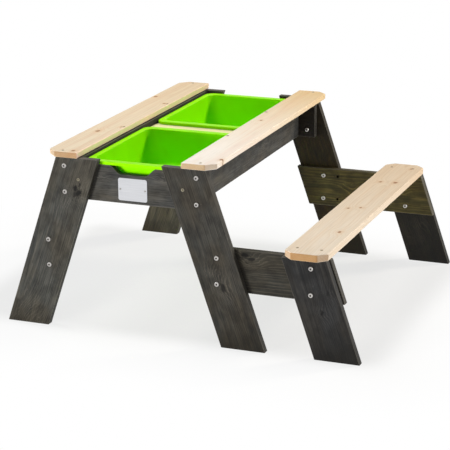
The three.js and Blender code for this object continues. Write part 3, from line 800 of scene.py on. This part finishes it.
def rounded_ring(centre, half_x, half_y, radius, z):
    """A level ring with four equal round corners, each side split evenly."""
    points = []
    for sign_x, sign_y in ((1, 1), (-1, 1), (-1, -1), (1, -1)):
        corner = [Vector((sign_x * (half_x - x), sign_y * (half_y - y), 0)) for x, y in corner_arc(radius)]
        if sign_x != sign_y:
            corner.reverse()
        if points:
            points += split_side(points[-1], corner[0])
        points += corner
    points += split_side(points[-1], points[0])
    return [Vector((centre.x + p.x, centre.y + p.y, z)) for p in points]


def split_side(start, end):
    """The points between two corners."""
    return [start.lerp(end, step / TUB_SIDE_STEPS) for step in range(1, TUB_SIDE_STEPS)]


def make_tub(node):
    """A moulded tub. Each row is a distance in from the rim's end, a corner radius and a height.
    The rim is narrower at the sides, so there the walls lie further out."""
    low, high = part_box(node)
    centre = (low + high) / 2
    half_x, half_y = (high.x - low.x) / 2, (high.y - low.y) / 2
    top, under = high.z, low.z
    floor = under + TUB_WALL
    foot = TUB_RIM_END_WIDTH + TUB_DRAFT
    narrower = TUB_RIM_END_WIDTH - TUB_RIM_SIDE_WIDTH
    quarter = [QUARTER * i / TUB_ROUND_STEPS for i in range(TUB_ROUND_STEPS + 1)]

    def wall_rows(offset, upper, lower):
        rows = []
        for i in range(TUB_WALL_ROWS + 1):
            share = i / TUB_WALL_ROWS
            inset = TUB_RIM_END_WIDTH + TUB_DRAFT * share - offset
            radius = TUB_MOUTH_RADIUS + (TUB_FLOOR_RADIUS - TUB_MOUTH_RADIUS) * share + offset
            rows.append((inset, radius, upper + (lower - upper) * share))
        return rows

    def fillet_rows(offset, level):
        rows = []
        for turn in quarter[1:]:
            inward = TUB_FLOOR_FILLET * (1 - cos(turn))
            rise = TUB_FLOOR_FILLET * (1 - sin(turn))
            thin = offset * (1 - turn / QUARTER)
            rows.append((foot + inward - thin, TUB_FLOOR_RADIUS - inward + thin, level + rise))
        return rows

    lip = top - TUB_RIM_LIP
    turned_down = [(TUB_WALL, top - TUB_WALL), (TUB_WALL, lip + TUB_WALL / 4), (TUB_WALL * 3 / 4, lip),
                   (TUB_WALL / 4, lip), (0.0, lip + TUB_WALL / 4)]
    turned_down += [(TUB_RIM_ROUND * (1 - cos(turn)), top - TUB_RIM_ROUND * (1 - sin(turn)))
                    for turn in quarter]
    rim = [(inset, TUB_RIM_RADIUS - inset, z) for inset, z in turned_down]
    mouth = [(TUB_RIM_END_WIDTH - TUB_MOUTH_ROUND * (1 - sin(turn)),
              TUB_MOUTH_RADIUS + TUB_MOUTH_ROUND * (1 - sin(turn)),
              top - TUB_MOUTH_ROUND * (1 - cos(turn))) for turn in quarter[:-1]]
    inside = wall_rows(0.0, top - TUB_MOUTH_ROUND, floor + TUB_FLOOR_FILLET) + fillet_rows(0.0, floor)
    outside = list(reversed(wall_rows(TUB_WALL, top - TUB_WALL, under + TUB_FLOOR_FILLET)
                            + fillet_rows(TUB_WALL, under)))
    rings = []
    for inset, radius, z in outside + rim + mouth + inside:
        side_inset = inset if inset < TUB_RIM_END_WIDTH / 2 else inset - narrower
        rings.append(rounded_ring(centre, half_x - side_inset, half_y - inset, radius, z))
    return skin(node + "_shell", rings)


# Plate


def make_plate(node):
    """A small rounded plate with a softened front edge."""
    low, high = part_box(node)
    centre = (low + high) / 2
    half_x, half_z = (high.x - low.x) / 2, (high.z - low.z) / 2
    rows = [(PLATE_EDGE_ROUND / 2, high.y), (0.0, high.y - PLATE_EDGE_ROUND), (0.0, low.y + PLATE_EDGE_ROUND),
            (PLATE_EDGE_ROUND * PLATE_EDGE_MIDWAY, low.y + PLATE_EDGE_ROUND * PLATE_EDGE_MIDWAY),
            (PLATE_EDGE_ROUND, low.y)]
    rings = []
    for drawn_in, y in rows:
        ring = []
        radius = PLATE_CORNER_RADIUS - drawn_in
        for quarter, (sign_x, sign_z) in enumerate(((1, 1), (-1, 1), (-1, -1), (1, -1))):
            for step in range(PLATE_CORNER_STEPS + 1):
                angle = QUARTER * (quarter + step / PLATE_CORNER_STEPS)
                x = centre.x + sign_x * (half_x - PLATE_CORNER_RADIUS) + radius * cos(angle)
                z = centre.z + sign_z * (half_z - PLATE_CORNER_RADIUS) + radius * sin(angle)
                ring.append(Vector((x, y, z)))
        rings.append(ring)
    return skin(node + "_sheet", rings)


# Floor, light and camera


def seen_or_mirrored(tree):
    """One for rays that see, mirror or look through, and nought for those that only gather light."""
    rays = add(tree, "LightPath")
    seen = rays.outputs["Is Camera Ray"]
    for kind in ("Is Transmission Ray", "Is Glossy Ray"):
        seen = add(tree, "Math", {0: seen, 1: rays.outputs[kind]}, operation="MAXIMUM")
    return seen


def make_floor():
    """A pale floor with a painted shadow under the table, which keeps the table's own shadow faintly and is
    white away from it.
    """
    bpy.ops.mesh.primitive_plane_add(size=FLOOR_SIZE)
    floor = bpy.context.object
    floor.name = "studio_floor"
    material, tree, shader = new_material("studio_floor")
    plug(tree, shader, {"Base Color": "#F6F6F6", "Roughness": 0.9, "Specular IOR Level": 0.0})
    away = add(tree, "TexCoord").outputs["Object"]
    for step, operation in ((FOOTPRINT_MIDDLE, "SUBTRACT"), ((0, 0, 0), "ABSOLUTE"), (FOOTPRINT, "SUBTRACT"),
                            ((0, 0, 0), "MAXIMUM"), ((0, 0, 0), "LENGTH")):
        away = add(tree, "VectorMath", {0: away, 1: step}, operation=operation)
    # Dimmer over the table's footprint: a painted shadow
    white = add(tree, "MapRange", {"Value": away, "To Min": PAINTED_SHADOW_FLOOR, "From Max": PAINTED_SHADOW_FADE},
                interpolation_type="SMOOTHSTEP")
    own_light = add(tree, "MapRange", {"Value": away, "To Min": FLOOR_LIGHT, "From Max": SHADOW_FADE},
                    interpolation_type="SMOOTHSTEP")
    share = add(tree, "Math", {0: seen_or_mirrored(tree), 1: own_light}, operation="MULTIPLY")
    backdrop = add(tree, "Emission", {"Color": "#FFFFFF", "Strength": white})
    mixed = add(tree, "MixShader", {0: share, 1: shader, 2: backdrop})
    output = next(node for node in tree.nodes if node.type == "OUTPUT_MATERIAL")
    plug(tree, output, {"Surface": mixed})
    floor.data.materials.append(material)


def make_world():
    """Even studio light, with white to be seen and mirrored behind it."""
    world = bpy.data.worlds.new("studio")
    bpy.context.scene.world = world
    world.use_nodes = True
    tree = world.node_tree
    tree.nodes.clear()
    ambient = add(tree, "Background", {"Color": "#FFFFFF", "Strength": STUDIO_AMBIENT})
    white = add(tree, "Background", {"Color": "#FFFFFF", "Strength": 1.0})
    mixed = add(tree, "MixShader", {0: seen_or_mirrored(tree), 1: ambient, 2: white})
    add(tree, "OutputWorld", {"Surface": mixed})


def make_lamp(name, place, target, width, height, power, colour="#FFFFFF", mirrored=True):
    """A soft rectangular lamp that faces its target. One that isn't mirrored leaves no highlight."""
    lamp = bpy.data.lights.new(name, "AREA")
    lamp.shape = "RECTANGLE"
    lamp.size = width
    lamp.size_y = height
    lamp.energy = power
    lamp.color = linear(colour)[:3]
    stand = bpy.data.objects.new(name, lamp)
    stand.location = place
    stand.visible_glossy = mirrored
    stand.rotation_euler = (Vector(target) - Vector(place)).to_track_quat("-Z", "Y").to_euler()
    bpy.context.scene.collection.objects.link(stand)


def make_lights():
    """Four lamps, each with its place, its target, its width and height, and its power in watts."""
    make_lamp("overhead_softbox", (-1.15, -0.15, 2.85), (0, 0, 0.5), 0.9, 0.9, 43)
    make_lamp("back_right_softbox", (3.0, 3.0, 3.4), (0, 0, 0.4), 0.8, 0.8, 180, colour="#FFF6E6")
    make_lamp("right_softbox", (3.6, 0.3, 0.5), (0, 0, 0.3), 2.2, 0.8, 43)
    make_lamp("front_strip", (-1.15, -2.8, 0.4), (0, -0.2, 0.3), 0.7, 0.5, 62, mirrored=False)


def make_camera():
    """The photograph's camera, solved from the table's straight edges."""
    place = Vector((1876.0 * MM + middle_x, -4515.0 * MM, 1649.5 * MM))
    yaw, pitch, roll = radians(21.733), radians(-16.7), radians(-0.467)
    image_side, focal_pixels, principal_x = 450, 1748.7, 221.68
    camera_data = bpy.data.cameras.new("photo_camera")
    camera_data.lens = focal_pixels / image_side * camera_data.sensor_width
    camera_data.shift_x = (image_side / 2 - principal_x) / image_side
    camera = bpy.data.objects.new("photo_camera", camera_data)
    turn = Matrix.Rotation(yaw, 4, "Z") @ Matrix.Rotation(QUARTER + pitch, 4, "X")
    turn = turn @ Matrix.Rotation(roll, 4, "Z")
    camera.matrix_world = Matrix.Translation(place) @ turn
    bpy.context.scene.collection.objects.link(camera)
    bpy.context.scene.camera = camera


# How dark each board is, partly from its stain and partly from painted shade on the far and shaded boards,
# and its knots
LEGS = {
    "leg_near_left": ("#F3F2EC", [
        Knot(419, 63, 8, 0), Knot(440, 93, 9), Knot(449, 80, 7), Knot(433, 82, 6, 0.8), Knot(464, 88, 4, 0.9),
        Knot(12, 60, 15, 0)]),
    "leg_near_right": ("#DFDAD2", [Knot(157, 61, 9, 0.85), Knot(205, 45, 6, 0)]),
    "leg_far_left": ("#FFF5D8", [Knot(180, 60, 8, 0.5)]),
    "leg_far_right": ("#9A8450", [Knot(250, 70, 9, 0.6), Knot(90, 35, 6)]),
    "bench_leg_near": ("#B0B0B6", [Knot(165, 95, 6, 0.7), Knot(118, 62, 6, 0.9)]),
    "bench_leg_far": ("#837D73", [Knot(150, 78, 10, 0.5), Knot(96, 62, 8, 0)]),
}
RAILS = {
    "bench_rail_near": ("#CCC8BD", Pith(180, -30), [
        Knot(158, 13, 8), Knot(177, 24, 7, 0.8), Knot(192, 36, 6, 0), Knot(163, 34, 4, 0.7)]),
    "bench_rail_far": ("#F0DF90", Pith(70, -22), [Knot(178, 61, 8, 0), Knot(330, 50, 7, 0.6)]),
}
CROSSPIECES = {
    "crosspiece_near": ("#FFFFFF", [Knot(310, 42, 6, 0.5), Knot(128, 60, 5, 0)]),
    "crosspiece_far": ("#786548", [Knot(60, 70, 7, 0.6), Knot(350, 75, 6, 0)]),
}
APRONS = {
    "apron_left": ("#9A8A68", [Knot(190, 35, 8, 0.6)]),
    "apron_right": ("#FFFFFF", [Knot(190, 35, 7, 0.7), Knot(560, 80, 7, 0.5)]),
}
LEG_PITH, CROSSPIECE_PITH, APRON_PITH = Pith(18, -46), Pith(148, 50), Pith(165, -55)
LEFT_PITH, RIGHT_PITH, SEAT_PITH, BATTEN_PITH = Pith(52, 40), Pith(30, 55), Pith(64, 45), Pith(50, -60)
LEFT_KNOTS = [Knot(245, 38, 7), Knot(706, 12, 6), Knot(311, 80, 4), Knot(627, 74, 4), Knot(20, 72, 6)]
RIGHT_KNOTS = [Knot(66, 88, 5), Knot(520, 30, 4)]
SEAT_KNOTS = [Knot(739, 42, 5), Knot(744, 86, 6), Knot(441, 38, 4), Knot(458, 70, 4), Knot(215, 86, 6),
              Knot(908, 88, 4)]


def end_axis(end):
    """The way out from the table at one end."""
    return -Y if end == "near" else Y


def build_frame():
    """Every stained board of the frame."""
    made = []
    for seed, (node, (stain_and_shade, knots)) in enumerate(LEGS.items(), start=1):
        side = SIDES["left"] if node.endswith("left") else SIDES["right"]
        made.append((node, *make_leg(node, side, knots, seed, stain_and_shade)))
    for seed, (node, (stain_and_shade, pith, knots)) in enumerate(RAILS.items(), start=11):
        made.append((node, *make_bench_rail(node, pith, knots, seed, stain_and_shade)))
    for seed, (node, (stain_and_shade, knots)) in enumerate(CROSSPIECES.items(), start=21):
        made.append((node, *make_crosspiece(node, knots, seed, stain_and_shade)))
    for seed, (node, (stain_and_shade, knots)) in enumerate(APRONS.items(), start=31):
        made.append((node, *make_apron(node, knots, seed, stain_and_shade)))
    for node, piece, material in made:
        if node.startswith("leg"):
            end, side = node.split("_")[1:]
            cut_away(piece, [countersink(f"frame_screw_{end}_{side}", end_axis(end))])
        smooth(piece, BOARD_CREASE)
        fit(piece, node, "frame", material)


def build_tops():
    """The pale boards: two for the tabletop, the seat, and the batten between the tubs."""
    made = {
        "tabletop_left": make_long_board(
            "tabletop_left", TABLETOP_CLIP, 0, LEFT_PITH, LEFT_KNOTS, seed=41, far_tint="#F6F0E6",
            cut_end="#C5AE96", sapwood=91 * MM),
        "tabletop_right": make_long_board(
            "tabletop_right", 0, TABLETOP_CLIP, RIGHT_PITH, RIGHT_KNOTS, seed=42, early="#FFF8EF",
            late="#EED8BE", blush="#FBEADE", far_tint="#E0CAA0", cut_end="#C6B090"),
        "bench_seat": make_long_board(
            "bench_seat", SEAT_CLIP, SEAT_CLIP, SEAT_PITH, SEAT_KNOTS, seed=43, early="#F0E3D2",
            late="#D8BD98", blush="#EAD6BE", far_tint="#E8DED0", cut_end="#CCAA80"),
        "tub_batten": make_batten("tub_batten", seed=44),
    }
    screws = {"tabletop_left": ("top_screw", "_left_"), "tabletop_right": ("top_screw", "_right_"),
              "bench_seat": ("seat_screw", "_")}
    for node, (piece, material) in made.items():
        if node in screws:
            kind, side = screws[node]
            sunk = [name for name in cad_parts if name.startswith(kind) and side in name]
            cut_away(piece, [countersink(name, Z) for name in sunk])
        smooth(piece, BOARD_CREASE)
        fit(piece, node, "frame", material)


def build_fasteners():
    """Bolts, screws and the plate with its two screws."""
    zinc = zinc_plated_steel()
    passivated = yellow_passivated_steel()
    for i, node in enumerate(sorted(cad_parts)):
        spin = FASTENER_TURN * i
        slot, material = "screw_metal", passivated
        if node.startswith("bolt"):
            piece = make_bolt(node, 1 if "_far_" in node else -1, spin)
            slot, material = "bolt_metal", zinc
        elif node.startswith("plate_screw"):
            piece = make_screw(node, -Y, spin, sink=0.0)
            slot, material = "bolt_metal", zinc
        elif node.startswith("frame_screw"):
            piece = make_screw(node, end_axis(node.split("_")[2]), spin)
        elif "_screw_" in node:
            piece = make_screw(node, Z, spin)
        else:
            continue
        smooth(piece, TURNED_CREASE)
        fit(piece, node, "frame", material)
    plate = make_plate("end_plate")
    cut_away(plate, [countersink(f"plate_screw_{side}", -Y, PLATE_HOLE_MARGIN) for side in SIDES])
    smooth(plate, BOARD_CREASE)
    fit(plate, "end_plate", "frame", brushed_aluminium())


def build_tubs():
    """The two green tubs, each riding on its own body."""
    plastic = moulded_polypropylene()
    for node in ("tub_near", "tub_far"):
        tub = make_tub(node)
        smooth(tub, TUB_CREASE)
        fit(tub, node, node, plastic)


make_camera()
make_world()
make_lights()
make_floor()
build_frame()
build_tops()
build_fasteners()
build_tubs()

bpy.context.scene.view_settings.view_transform = "Standard"
